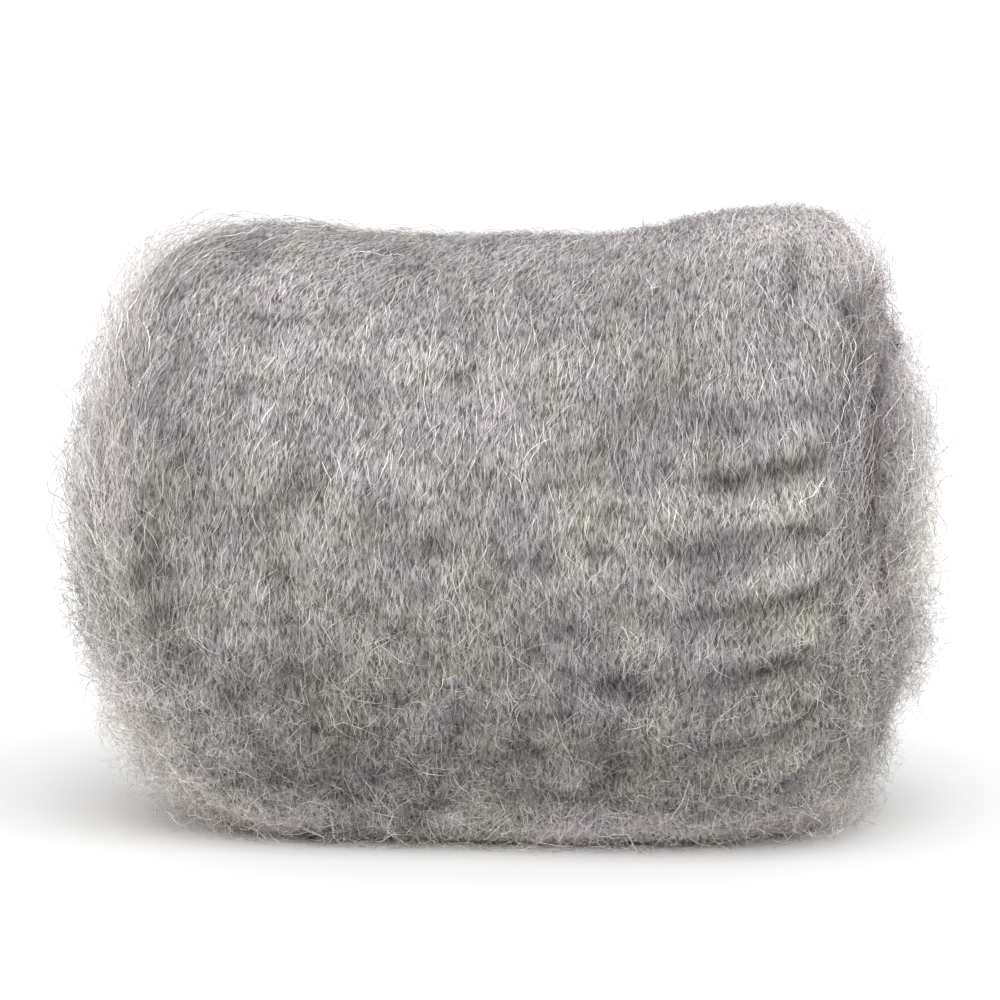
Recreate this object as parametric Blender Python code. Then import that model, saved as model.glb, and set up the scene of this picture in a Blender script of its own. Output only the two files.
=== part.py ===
"""A steel wool bundle: one long web of wool, rolled up in a few loose turns and pressed oval.

Metres, +Z up. The roll's axis lies along X and its front faces -Y. The bundle rests on the flat
spot that its own weight presses into it, and the origin is under the middle of its box, on that
flat spot. The web's fibres run round the roll.

The whole bundle is one closed surface. Its wall is the outermost turn, and each end shows the
edges of all the turns as one spiral ridge with a groove beside it, from the eye in the middle
out to the torn tail.
"""

import math
from dataclasses import dataclass

import bmesh
import bpy
import numpy as np
from mathutils import Vector, noise

# The web that is rolled up
WEB_WIDTH = 0.116
TURN_THICKNESS = 0.0098
TURNS = 4
TORN_TIP_THICKNESS = 0.0010
TORN_START_ARC = math.radians(170)
TORN_TAIL_ARC = math.radians(100)

# The pressed oval that the turns are wound into
EYE_HALF_HEIGHT = 0.0076
EYE_HALF_DEPTH = 0.0028
EYE_RECESS = 0.0045
OVAL_POWER = 2.25
START_ANGLE = math.radians(215)
FOOT_PRESS = 0.0020
FOOT_BLEND = 0.0016

# The left end, where the outer turns are drawn in over the inner ones
LEFT_SHOULDER_LENGTH = 0.027
LEFT_TUCK = 0.0150
LEFT_BULGE = 0.0080
LEFT_EDGE_CROWN = 0.0010

# The right end, where the inner turns have slipped out past the outer one
RIGHT_SHOULDER_LENGTH = 0.014
RIGHT_TUCK = 0.0055
RIGHT_BULGE = 0.0088
RIGHT_EDGE_CROWN = 0.0022
CREASE_DEPTH = 0.0050

# Gathers pressed across the fibres at the front, beside the right end
GATHER_PITCH = 0.0094
GATHER_HEIGHT = 0.0011
GATHER_LENGTH = 0.030
GATHER_RISE = 0.0055
GATHER_TOP_ANGLE = math.radians(70)
GATHER_BOTTOM_ANGLE = math.radians(130)
GATHER_FADE = math.radians(16)
GATHER_FULL_SHARE = 0.4
GATHER_END_FADE = 0.005

# The soft lumps of loose wool all over the wall
LUMP_HEIGHT = 0.0011
LUMP_SPACING = 0.0150

# Mesh fineness
STEPS_PER_TURN = 112
GATHER_FINENESS = 2.4
LAYERS = 3
EYE_RINGS = 3
LEFT_SHOULDER_STEPS = 7
RIGHT_SHOULDER_STEPS = 5
MIDDLE_STEPS = 13
MIDDLE_CROWDING = 1.35

FULL_TURN = 2 * math.pi
SKIN_GROWTH = TURN_THICKNESS * TURNS
OUTER_HALF_HEIGHT = EYE_HALF_HEIGHT + SKIN_GROWTH
OUTER_HALF_DEPTH = EYE_HALF_DEPTH + SKIN_GROWTH


@dataclass(frozen=True)
class Dent:
    """A broad hollow in the wall, or a swelling where its depth is below zero."""

    x: float
    angle: float
    reach: float
    spread: float
    depth: float


SADDLE = Dent(0.010, math.radians(-5), 0.030, math.radians(55), 0.0026)
PINCH = Dent(-0.017, math.radians(0), 0.008, math.radians(30), 0.0009)
TUFT = Dent(0.044, math.radians(-12), 0.015, math.radians(38), -0.0038)
FRONT_SLIT = Dent(0.045, math.radians(28), 0.004, math.radians(20), 0.0020)
RIGHT_UNDERCUT = Dent(0.064, math.radians(160), 0.019, math.radians(50), 0.0066)
LEFT_UNDERCUT = Dent(-0.062, math.radians(165), 0.018, math.radians(50), 0.0068)
LEFT_CHEEK = Dent(-0.058, math.radians(50), 0.012, math.radians(42), -0.0028)
BACK_HOLLOW = Dent(-0.012, math.radians(268), 0.032, math.radians(45), 0.0030)
DENTS = (SADDLE, PINCH, TUFT, FRONT_SLIT, RIGHT_UNDERCUT, LEFT_UNDERCUT, LEFT_CHEEK, BACK_HOLLOW)

# Each end by its side: its bulge, the crown on each turn's edge, and the crease inside the skin
END_FORMS = {
    -1: (LEFT_BULGE, LEFT_EDGE_CROWN, 0.0),
    1: (RIGHT_BULGE, RIGHT_EDGE_CROWN, CREASE_DEPTH),
}


def fade(distance, reach):
    """1 at no distance, falling smoothly to nothing at twice the reach."""
    share = min(abs(distance) / (2 * reach), 1.0)
    return (1 - share * share) ** 2


def ramp(value, low, high):
    """0 below low, 1 above high, with a smooth step between them."""
    share = min(max((value - low) / (high - low), 0.0), 1.0)
    return share * share * (3 - 2 * share)


def angle_between(a, b):
    """The signed angle from b to a, the short way round."""
    return (a - b + math.pi) % FULL_TURN - math.pi


def oval_radius(angle, growth):
    """How far the oval lies from the roll's axis. The angle runs from the top over the front."""
    across = abs(math.sin(angle)) / (EYE_HALF_DEPTH + growth)
    up = abs(math.cos(angle)) / (EYE_HALF_HEIGHT + growth)
    return (across**OVAL_POWER + up**OVAL_POWER) ** (-1 / OVAL_POWER)


def web_growth(winding, share):
    """How far the web has grown past the eye, at a winding angle and a share of its thickness.

    Both ends of the web are torn, so it thins out at the eye and again at the tail.
    """
    build_up = TURN_THICKNESS * winding / FULL_TURN
    missing = TURN_THICKNESS - TORN_TIP_THICKNESS
    inner = build_up + missing * (1 - ramp(winding, 0, TORN_START_ARC))
    left_to_go = TURNS * FULL_TURN - winding
    outer = build_up + TURN_THICKNESS - missing * (1 - ramp(left_to_go, 0, TORN_TAIL_ARC))
    return inner + share * (outer - inner)


def tuck(x):
    """How far the skin is drawn in at x. Each shoulder is a quarter of an ellipse."""
    half = WEB_WIDTH / 2
    left = min((x + half) / LEFT_SHOULDER_LENGTH, 1.0)
    right = min((half - x) / RIGHT_SHOULDER_LENGTH, 1.0)
    drop_left = LEFT_TUCK * (1 - math.sqrt(1 - (1 - left) ** 2))
    drop_right = RIGHT_TUCK * (1 - math.sqrt(1 - (1 - right) ** 2))
    return max(drop_left, drop_right)


def gathered(angle):
    """1 where the front is gathered and 0 elsewhere round the roll."""
    middle = (GATHER_TOP_ANGLE + GATHER_BOTTOM_ANGLE) / 2
    half = (GATHER_BOTTOM_ANGLE - GATHER_TOP_ANGLE) / 2
    return 1 - ramp(abs(angle_between(angle, middle)), half, half + GATHER_FADE)


def gathers(angle, x):
    """The height of the gathers, which climb to the right and fade out both ways along the roll."""
    from_end = WEB_WIDTH / 2 - x
    to_right = max(1 - from_end / GATHER_LENGTH, 0.0)
    arc = angle_between(angle, GATHER_TOP_ANGLE) * OUTER_HALF_DEPTH
    wave = math.cos(FULL_TURN * (arc + GATHER_RISE * to_right**3) / GATHER_PITCH)
    along = ramp(to_right, 0, GATHER_FULL_SHARE) * ramp(from_end, 0, GATHER_END_FADE)
    return GATHER_HEIGHT * wave * gathered(angle) * along


def dented(angle, x):
    """How far all the dents together draw the wall in."""
    return sum(
        dent.depth * fade(x - dent.x, dent.reach) * fade(angle_between(angle, dent.angle), dent.spread)
        for dent in DENTS
    )


def lumps(angle, x):
    """The height of the wool's lumps, which fade out at both rims."""
    around = Vector((x, OUTER_HALF_DEPTH * math.sin(angle), OUTER_HALF_HEIGHT * math.cos(angle)))
    from_end = WEB_WIDTH / 2 - abs(x)
    return LUMP_HEIGHT * noise.noise(around / LUMP_SPACING) * ramp(from_end, 0, LUMP_SPACING)


def place(winding, growth, x, x_on_wall):
    """A point of the roll in space. x_on_wall is where the wall sets how far it is drawn in."""
    angle = START_ANGLE + winding
    share = min(growth / SKIN_GROWTH, 1.0)
    drawn_in = 1 - tuck(x_on_wall) / OUTER_HALF_HEIGHT
    radius = oval_radius(angle, growth) * drawn_in
    radius += gathers(angle, x_on_wall) + lumps(angle, x_on_wall) - dented(angle, x_on_wall) * share
    return (x, -radius * math.sin(angle), pressed(radius * math.cos(angle)))


def pressed(height):
    """The height once the table has pressed the foot flat, with a soft turn into the flat."""
    over = height - (FOOT_PRESS - OUTER_HALF_HEIGHT)
    if over >= FOOT_BLEND:
        return height
    if over <= -FOOT_BLEND:
        return height - over
    return height - over + (over + FOOT_BLEND) ** 2 / (4 * FOOT_BLEND)


def end_relief(side, winding, share):
    """How far a turn's edge stands out past the rim: the end's bulge and the edge's own crown."""
    bulge, crown, crease = END_FORMS[side]
    from_axis = (EYE_HALF_HEIGHT + web_growth(winding, share)) / OUTER_HALF_HEIGHT
    thickness = web_growth(winding, 1) - web_growth(winding, 0)
    ridge = crown * math.sin(math.pi * share) * thickness / TURN_THICKNESS
    behind_skin = ramp(winding, (TURNS - 1.5) * FULL_TURN, (TURNS - 1) * FULL_TURN)
    groove = crease * behind_skin if share == 0 else 0.0
    return bulge * (1 - min(from_axis, 1.0) ** 2) + ridge - groove


def turn_angles():
    """The winding angles of one turn's steps, closer together where the front is gathered."""
    fine = np.linspace(0, FULL_TURN, 20 * STEPS_PER_TURN)
    weight = [1 + GATHER_FINENESS * gathered(START_ANGLE + angle) for angle in fine]
    passed = np.cumsum(weight) - weight[0]
    wanted = np.arange(STEPS_PER_TURN) / STEPS_PER_TURN * passed[-1]
    return [float(angle) for angle in np.interp(wanted, passed, fine)]


def wall_stations():
    """The x places of the wall's rings, closer together at the shoulders and at the gathers."""
    half = WEB_WIDTH / 2
    left = [
        -half + LEFT_SHOULDER_LENGTH * (1 - math.cos(math.pi / 2 * i / LEFT_SHOULDER_STEPS))
        for i in range(1, LEFT_SHOULDER_STEPS + 1)
    ]
    right = [
        half - RIGHT_SHOULDER_LENGTH * (1 - math.cos(math.pi / 2 * i / RIGHT_SHOULDER_STEPS))
        for i in range(RIGHT_SHOULDER_STEPS, 0, -1)
    ]
    straight = right[0] - left[-1]
    middle = [
        right[0] - straight * (1 - i / MIDDLE_STEPS) ** MIDDLE_CROWDING for i in range(1, MIDDLE_STEPS)
    ]
    return left + middle + right


class RolledWeb:
    """Builds the roll's surface in a bmesh: two spiral ends and the wall between their rims."""

    def __init__(self):
        self.mesh = bmesh.new()
        self.last = TURNS * STEPS_PER_TURN
        self.angles = turn_angles()

    def winding(self, step):
        """The winding angle after this many steps along the web."""
        turn, place_in_turn = divmod(step, STEPS_PER_TURN)
        return FULL_TURN * turn + self.angles[place_in_turn]

    def key(self, layer, step):
        """A turn's outermost layer is the innermost one of the next turn, where there is one."""
        if layer == LAYERS and step + STEPS_PER_TURN <= self.last:
            return 0, step + STEPS_PER_TURN
        return layer, step

    def skin_path(self):
        """The (layer, step) pairs once round the outside, with the tail's torn edge."""
        first = self.last - STEPS_PER_TURN
        skin = [self.key(LAYERS, step) for step in range(first, self.last + 1)]
        return skin + [(layer, self.last) for layer in range(LAYERS - 1, 0, -1)]

    def eye_path(self):
        """The (layer, step) pairs round the eye, with the edge of the web's inner end."""
        inside = [(0, step) for step in range(STEPS_PER_TURN + 1)]
        return inside + [(layer, 0) for layer in range(LAYERS - 1, 0, -1)]

    def end(self, side):
        """One end: a ridge for each turn's edge, wound from the eye out to the skin."""
        rim = side * WEB_WIDTH / 2
        points = {}
        for step in range(self.last + 1):
            for layer in range(LAYERS + 1):
                key = self.key(layer, step)
                if key in points:
                    continue
                winding, share = self.winding(key[1]), key[0] / LAYERS
                x = rim + side * end_relief(side, winding, share)
                growth = web_growth(winding, share)
                points[key] = self.mesh.verts.new(place(winding, growth, x, rim))
        for step in range(self.last):
            for layer in range(LAYERS):
                corners = ((layer, step), (layer, step + 1), (layer + 1, step + 1), (layer + 1, step))
                self.mesh.faces.new([points[self.key(*corner)] for corner in corners])
        self.hollow([points[self.key(*pair)] for pair in self.eye_path()], side)
        return [points[pair] for pair in self.skin_path()]

    def hollow(self, edge, side):
        """The eye: rings that go in from its edge and close on a point, as a rounded pit."""
        middle = sum((vert.co for vert in edge), Vector()) / len(edge)
        middle.x -= side * EYE_RECESS
        for ring in range(1, EYE_RINGS):
            turn = math.pi / 2 * ring / EYE_RINGS
            inner = []
            for vert in edge:
                place_in = middle.lerp(vert.co, math.cos(turn))
                place_in.x = vert.co.x + (middle.x - vert.co.x) * math.sin(turn)
                inner.append(self.mesh.verts.new(place_in))
            self.band(edge, inner)
            edge = inner
        bottom = self.mesh.verts.new(middle)
        for a, b in zip(edge, edge[1:] + edge[:1]):
            self.mesh.faces.new((a, b, bottom))

    def band(self, near, far):
        """The faces between two rings. Their first corner lets each split along the gathers' climb."""
        for i, corner in enumerate(near):
            after = (i + 1) % len(near)
            self.mesh.faces.new((near[after], far[after], far[i], corner))

    def ring(self, x):
        """The outermost turn once round, at x along the roll."""
        ring = []
        for layer, step in self.skin_path():
            winding = self.winding(step)
            growth = web_growth(winding, layer / LAYERS)
            ring.append(self.mesh.verts.new(place(winding, growth, x, x)))
        return ring

    def build(self):
        """Both ends and the wall that joins them."""
        rings = [self.end(-1)] + [self.ring(x) for x in wall_stations()] + [self.end(1)]
        for near, far in zip(rings, rings[1:]):
            self.band(near, far)
        bmesh.ops.recalc_face_normals(self.mesh, faces=self.mesh.faces)
        return self.mesh


def stand_on_origin(mesh):
    """Moves the mesh so that the origin is under the middle of its box, on the flat spot."""
    xs, ys, zs = zip(*(vert.co for vert in mesh.verts))
    middle = ((min(xs) + max(xs)) / 2, (min(ys) + max(ys)) / 2, min(zs))
    bmesh.ops.translate(mesh, verts=mesh.verts, vec=[-value for value in middle])


def steel_wool_material():
    """Grey steel fibres, seen from far enough away to be one finish."""
    material = bpy.data.materials.new("steel_wool")
    material.use_nodes = True
    shader = material.node_tree.nodes["Principled BSDF"]
    shader.inputs["Base Color"].default_value = (0.34, 0.33, 0.32, 1)
    shader.inputs["Metallic"].default_value = 0.8
    shader.inputs["Roughness"].default_value = 0.55
    return material


def main():
    """Clears the scene and makes the bundle."""
    for old in list(bpy.data.objects):
        bpy.data.objects.remove(old)
    rolled = RolledWeb().build()
    stand_on_origin(rolled)
    data = bpy.data.meshes.new("steel_wool_bundle")
    rolled.to_mesh(data)
    rolled.free()
    data.shade_smooth()
    data.materials.append(steel_wool_material())
    bundle = bpy.data.objects.new("steel_wool_bundle", data)
    bpy.context.scene.collection.objects.link(bundle)


main()
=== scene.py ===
"""The looks of a steel wool bundle: a rolled web of fine steel fibres, lying on its side.

The bundle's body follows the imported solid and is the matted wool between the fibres. Fibres are
grown over it in layers: a nap that follows the way the web was rolled, curls low down where the wool
is tangled, crossing strays, and wisps and a veil that stand off the skin where the wool is loose.
Metres, +Z up.
"""

import logging
import math
from collections.abc import Callable
from dataclasses import dataclass, field
from enum import Enum

import bmesh
import bpy
import numpy as np
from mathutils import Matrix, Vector, noise


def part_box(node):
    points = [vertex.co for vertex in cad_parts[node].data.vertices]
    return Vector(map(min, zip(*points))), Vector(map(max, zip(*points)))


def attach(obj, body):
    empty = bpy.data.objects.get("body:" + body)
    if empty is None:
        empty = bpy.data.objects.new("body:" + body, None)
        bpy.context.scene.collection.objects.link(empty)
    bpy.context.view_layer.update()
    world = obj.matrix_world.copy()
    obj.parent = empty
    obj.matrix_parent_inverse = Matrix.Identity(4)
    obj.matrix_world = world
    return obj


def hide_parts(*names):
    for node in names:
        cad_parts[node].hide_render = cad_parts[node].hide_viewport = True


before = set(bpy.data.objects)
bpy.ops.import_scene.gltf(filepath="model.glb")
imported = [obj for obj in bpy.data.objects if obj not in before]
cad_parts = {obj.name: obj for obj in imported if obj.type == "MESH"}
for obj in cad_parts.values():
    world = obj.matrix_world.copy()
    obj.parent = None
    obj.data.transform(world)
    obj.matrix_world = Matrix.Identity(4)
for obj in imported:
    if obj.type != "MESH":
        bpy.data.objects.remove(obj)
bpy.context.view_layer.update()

NODE = "steel_wool_bundle"
MM = 0.001
Array = np.ndarray
Pair = tuple[float, float]

log = logging.getLogger("steel_wool")


class Section(Enum):
    """What a fibre is like across: shaved flat and lying flat, shaved flat and turned any way, or round."""

    FLAT = "flat"
    TURNED = "turned"
    ROUND = "round"


class Spread(Enum):
    """What a layer's fibres crowd to, by the name of what the body stores for it."""

    EVEN = ""
    TANGLED = "tangle"
    LOOSE = "loose"


class Draw(Enum):
    """What is drawn at random for each fibre, by the seed of the draw."""

    SLANT = 12
    BOW = 13
    LENGTH = 14
    LIFT = 21
    FLY = 22
    CURL = 23
    TONE = 31
    THICKNESS = 32
    FACING = 41


@dataclass(frozen=True)
class Band:
    """A smooth step from 0 to 1. The place of its 0 may be the larger one."""

    zero: float
    one: float

    def of(self, values: Array) -> Array:
        """Grades numbers by the step.

        Args:
            values: the numbers to grade.

        Returns:
            The graded numbers, from 0 to 1.
        """
        share = np.clip((values - self.zero) / (self.one - self.zero), 0.0, 1.0)
        return share * share * (3.0 - 2.0 * share)


@dataclass(frozen=True)
class Grain:
    """Smooth noise: how large its lumps are, and an offset, so that no two patterns match."""

    size: float | tuple[float, float, float]
    offset: float

    def at(self, places: Array) -> Array:
        """Reads the noise.

        Args:
            places: the places, one a row.

        Returns:
            The noise at each place, from -1 to 1.
        """
        moved = places / np.array(self.size) + self.offset
        return np.array([noise.noise(Vector(place)) for place in moved])

    def share(self, places: Array, middle: float, swing: float, least: float) -> Array:
        """A share of 1 that varies about the middle with the noise, and is never under the least."""
        return np.clip(middle + swing * self.at(places), least, 1.0)


def operator(operation: str, swapped: bool = False) -> Callable[["Value", "Value | float"], "Value"]:
    """Makes one of Python's operators for a node tree's values.

    Args:
        operation: what its Math node does.
        swapped: whether the other value comes first.

    Returns:
        The operator, which adds a Math node.
    """

    def combine(this: "Value", other: "Value | float") -> "Value":
        """The Math node's result on both values."""
        pair = (other, this) if swapped else (this, other)
        return this.graph.math(operation, *pair)

    return combine


class Value:
    """One socket of a node tree. Python's operators on it add Math nodes."""

    def __init__(self, graph: "Graph", socket: bpy.types.NodeSocket) -> None:
        """Wraps a socket of the graph's tree."""
        self.graph = graph
        self.socket = socket

    __add__, __radd__ = operator("ADD"), operator("ADD", swapped=True)
    __sub__, __rsub__ = operator("SUBTRACT"), operator("SUBTRACT", swapped=True)
    __mul__, __rmul__ = operator("MULTIPLY"), operator("MULTIPLY", swapped=True)
    __truediv__, __rtruediv__ = operator("DIVIDE"), operator("DIVIDE", swapped=True)
    __pow__ = operator("POWER")
    __mod__ = operator("MODULO")


class Graph:
    """A node tree under construction, of a material or of Geometry Nodes."""

    def __init__(self, tree: bpy.types.NodeTree) -> None:
        """Wraps the tree."""
        self.tree = tree

    def node(self, kind: str, settings: dict | None = None, inputs: dict | None = None) -> bpy.types.Node:
        """Adds a node.

        Args:
            kind: the node's type.
            settings: its properties, set before its sockets.
            inputs: values or links by the socket's name or number.

        Returns:
            The new node.
        """
        made = self.tree.nodes.new(kind)
        for name, setting in (settings or {}).items():
            setattr(made, name, setting)
        for name, given in (inputs or {}).items():
            self.feed(self.socket_in(made, name), given)
        return made

    def socket_in(self, node: bpy.types.Node, name: str | int) -> bpy.types.NodeSocket:
        """The node's enabled input of this name, or the one with this number."""
        if isinstance(name, int):
            return node.inputs[name]
        return next(s for s in node.inputs if s.name == name and s.enabled)

    def out(self, node: bpy.types.Node, name: str = "") -> Value:
        """The node's enabled output of this name, or its first one."""
        return Value(self, next(s for s in node.outputs if s.enabled and name in ("", s.name)))

    def feed(self, socket: bpy.types.NodeSocket, given: object) -> None:
        """Sets a socket to a value, or links it to where the value comes from."""
        if isinstance(given, Value):
            self.tree.links.new(given.socket, socket)
        else:
            socket.default_value = given

    def math(self, operation: str, *values: "Value | float") -> Value:
        """A Math node's result on the values."""
        return self.out(self.node("ShaderNodeMath", {"operation": operation}, dict(enumerate(values))))

    def vector(self, operation: str, *values: object, scale: object = None) -> Value:
        """A Vector Math node's vector, from the values."""
        inputs = dict(enumerate(values))
        if scale is not None:
            inputs["Scale"] = scale
        return self.out(self.node("ShaderNodeVectorMath", {"operation": operation}, inputs))

    def ramp(self, factor: Value, stops: list[tuple[float, tuple]]) -> Value:
        """A colour ramp.

        Args:
            factor: where on the ramp each point is.
            stops: each stop's place and its colour, in order.

        Returns:
            The ramp's colour.
        """
        made = self.node("ShaderNodeValToRGB", None, {"Fac": factor})
        stop_list = made.color_ramp.elements
        while len(stop_list) < len(stops):
            stop_list.new(1.0)
        for stop, (place, colour) in zip(stop_list, stops):
            stop.position = place
            stop.color = (*colour, 1.0)
        return self.out(made, "Color")

    def product(self, first: Value, second: Value) -> Value:
        """Two colours multiplied."""
        settings = {"data_type": "RGBA", "blend_type": "MULTIPLY"}
        return self.out(self.node("ShaderNodeMix", settings, {"Factor": 1.0, "A": first, "B": second}))

    def stored(self, name: str, output: str = "Fac") -> Value:
        """What the mesh stores for each point under this name, as a material reads it."""
        return self.out(self.node("ShaderNodeAttribute", {"attribute_name": name}), output)


class Growth(Graph):
    """A Geometry Nodes tree with named inputs."""

    def __init__(self, name: str, sizes: dict[str, float | int]) -> None:
        """Makes the tree with a geometry input, one named input for each size, and an output.

        Args:
            name: the tree's name.
            sizes: the inputs' names and values. Whole numbers become integer inputs.
        """
        super().__init__(bpy.data.node_groups.new(name, "GeometryNodeTree"))
        self.tree.interface.new_socket("Body", in_out="INPUT", socket_type="NodeSocketGeometry")
        self.settings: dict[str, float | int] = {}
        for label, size in sizes.items():
            kind = "NodeSocketInt" if isinstance(size, int) else "NodeSocketFloat"
            socket = self.tree.interface.new_socket(label, in_out="INPUT", socket_type=kind)
            self.settings[socket.identifier] = size
        self.tree.interface.new_socket("Fibres", in_out="OUTPUT", socket_type="NodeSocketGeometry")
        self.given = self.node("NodeGroupInput")

    def size(self, name: str) -> Value:
        """The named input's value."""
        return self.out(self.given, name)

    def geometry(self, kind: str, settings: dict | None = None, inputs: dict | None = None) -> Value:
        """Adds a geometry node and gives its first output."""
        return self.out(self.node(kind, settings, inputs))

    def named(self, name: str, kind: str = "FLOAT") -> Value:
        """The attribute of this name."""
        return self.geometry("GeometryNodeInputNamedAttribute", {"data_type": kind}, {"Name": name})

    def nearest(self, body: Value, field_on_body: Value, place: Value, kind: str = "FLOAT_VECTOR") -> Value:
        """What a field on the body is at the point of the body that is nearest to a place."""
        inputs = {"Mesh": body, "Value": field_on_body, "Sample Position": place}
        return self.out(self.node("GeometryNodeSampleNearestSurface", {"data_type": kind}, inputs), "Value")

    def kept(
        self, geometry: Value, name: str, given: Value, kind: str = "FLOAT", domain: str = "POINT"
    ) -> Value:
        """The geometry with a value stored on it under a name.

        Args:
            geometry: what the value is stored on.
            name: the attribute's name.
            given: the value.
            kind: the attribute's data type.
            domain: what each value belongs to.

        Returns:
            The geometry with its new attribute.
        """
        settings = {"data_type": kind, "domain": domain}
        inputs = {"Geometry": geometry, "Name": name, "Value": given}
        return self.geometry("GeometryNodeStoreNamedAttribute", settings, inputs)

    def chance(self, who: Value, draw: Draw, low: float = 0.0, high: float = 1.0) -> Value:
        """A number between low and high, the same for all points of one fibre."""
        inputs = {"ID": who, "Seed": draw.value, "Min": low, "Max": high}
        return self.out(self.node("FunctionNodeRandomValue", {"data_type": "FLOAT"}, inputs), "Value")

    def finish(self, geometry: Value) -> None:
        """Links the geometry to the tree's output."""
        end = self.node("NodeGroupOutput")
        self.feed(end.inputs[0], geometry)


@dataclass(frozen=True)
class WoolColour:
    """The colours that all the wool shares: warm grey, with olive, violet and brownish places.

    Each tint has its own place on the stored tint. Between the two plain places the wool stays grey.
    """

    grey: tuple[float, float, float] = (1.0, 0.948, 0.935)
    olive: tuple[float, float, float] = (0.99, 1.0, 0.905)
    violet: tuple[float, float, float] = (1.0, 0.98, 1.04)
    brown: tuple[float, float, float] = (1.0, 0.84, 0.75)
    olive_at: float = 0.12
    plain_at: Pair = (0.38, 0.55)
    violet_at: float = 0.78
    brown_at: float = 1.0
    # Painted shade in the pits between tufts.
    pit_width: float = 0.00048
    pit_length: float = 0.0015
    pit_edge: Pair = (0.36, 0.54)
    pit_shade: float = 0.42
    between_light: float = 1.12

    def pitted(self, graph: Graph) -> Value:
        """How light each place is, with painted shade in the small pits between the wool's tufts."""
        place = graph.out(graph.node("ShaderNodeTexCoord"), "Object")
        grain = (1 / self.pit_width, 1 / self.pit_length, 1 / self.pit_length)
        moved = graph.node("ShaderNodeMapping", None, {"Vector": place, "Scale": grain})
        inputs = {"Vector": graph.out(moved), "Scale": 1.0, "Detail": 2.0, "Roughness": 0.6}
        pits = graph.out(graph.node("ShaderNodeTexNoise", None, inputs), "Fac")
        low, high = self.pit_edge
        ends = {"From Min": low, "From Max": high, "To Min": self.pit_shade, "To Max": self.between_light}
        return graph.out(graph.node("ShaderNodeMapRange", None, {"Value": pits, **ends}))

    def tinted(self, graph: Graph, tone: Value) -> Value:
        """The colour of wool of this tone, tinted by what the mesh stores for each point.

        Args:
            graph: the material's tree.
            tone: how light the wool is, from 0 to 1.

        Returns:
            The colour.
        """
        black, neutral = (0.0,) * 3, (1.0,) * 3
        stops = [
            (self.olive_at, self.olive),
            *((place, neutral) for place in self.plain_at),
            (self.violet_at, self.violet),
            (self.brown_at, self.brown),
        ]
        untinted = graph.ramp(tone * self.pitted(graph), [(0.0, black), (1.0, self.grey)])
        return graph.product(untinted, graph.ramp(graph.stored("tint"), stops))


def new_finish(name: str) -> tuple[bpy.types.Material, Graph, bpy.types.Node]:
    """Makes a material with a plain shader.

    Args:
        name: the material's name.

    Returns:
        The material, its tree as a graph, and its shader.
    """
    made = bpy.data.materials.new(name)
    made.use_nodes = True
    return made, Graph(made.node_tree), made.node_tree.nodes["Principled BSDF"]


@dataclass(frozen=True)
class MattedWool:
    """The finish between the fibres: more fibres, deeper down, drawn as streaks with painted shade in the
    gaps.

    Each set of slanting fibres has its slope and its pattern's offset. The tones of gap, grey and
    pale wool lie at their own places on the streaks' noise.
    """

    colour: WoolColour = WoolColour()
    # gap is the painted shade between the streaks.
    gap: float = 0.15
    grey: float = 0.36
    pale: float = 0.60
    tones_at: tuple[float, float, float] = (0.42, 0.56, 0.74)
    cavity_shade: float = 0.8
    fibre: float = 0.00018
    run: float = 0.0034
    right_slant: Pair = (0.42, 31.7)
    left_slant: Pair = (-0.33, 73.1)
    slants_under: float = 0.03
    metallic: float = 0.25
    roughness: float = 0.6
    gap_roughness: float = 0.3
    depth: float = 0.00022

    def streaks(self, graph: Graph, turn: float = 0.0, offset: float = 0.0) -> Value:
        """Noise drawn out along the way the fibres run.

        Args:
            graph: the material's tree.
            turn: how far this set of fibres slants from the others, as a slope.
            offset: moves the pattern, so that no two sets match.

        Returns:
            The noise, from 0 to 1.
        """
        parts = graph.node("ShaderNodeSeparateXYZ", None, {"Vector": graph.stored("grain", "Vector")})
        x, y, z = (graph.out(parts, name) for name in "XYZ")
        across = (x + (y + z) * turn) / self.fibre
        moved = {"X": across + offset, "Y": y / self.run + offset, "Z": z / self.run}
        place = graph.out(graph.node("ShaderNodeCombineXYZ", None, moved))
        inputs = {"Vector": place, "Scale": 1.0, "Detail": 2.0, "Roughness": 0.55}
        return graph.out(graph.node("ShaderNodeTexNoise", None, inputs), "Fac")

    def material(self) -> bpy.types.Material:
        """Makes the material.

        Returns:
            The new material.
        """
        made, graph, shader = new_finish("matted_wool")
        slants = graph.math(
            "MAXIMUM", self.streaks(graph, *self.right_slant), self.streaks(graph, *self.left_slant)
        )
        fibres = graph.math("MAXIMUM", self.streaks(graph), slants - self.slants_under)
        shades = (self.gap, self.grey, self.pale)
        tones = [(place, (shade,) * 3) for place, shade in zip(self.tones_at, shades)]
        light = graph.out(graph.node("ShaderNodeRGBToBW", None, {"Color": graph.ramp(fibres, tones)}))
        # Painted shade in the hollows, and the tone map's painted light and shade.
        tone = light * (1.0 - graph.stored("cavity") * self.cavity_shade) * graph.stored("tone_and_painted_shading")
        graph.feed(shader.inputs["Base Color"], self.colour.tinted(graph, tone))
        shader.inputs["Metallic"].default_value = self.metallic
        graph.feed(shader.inputs["Roughness"], self.roughness + (1.0 - fibres) * self.gap_roughness)
        raised = {"Strength": 1.0, "Distance": self.depth, "Height": fibres}
        bump = graph.node("ShaderNodeBump", None, raised)
        graph.feed(shader.inputs["Normal"], graph.out(bump, "Normal"))
        return made


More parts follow.
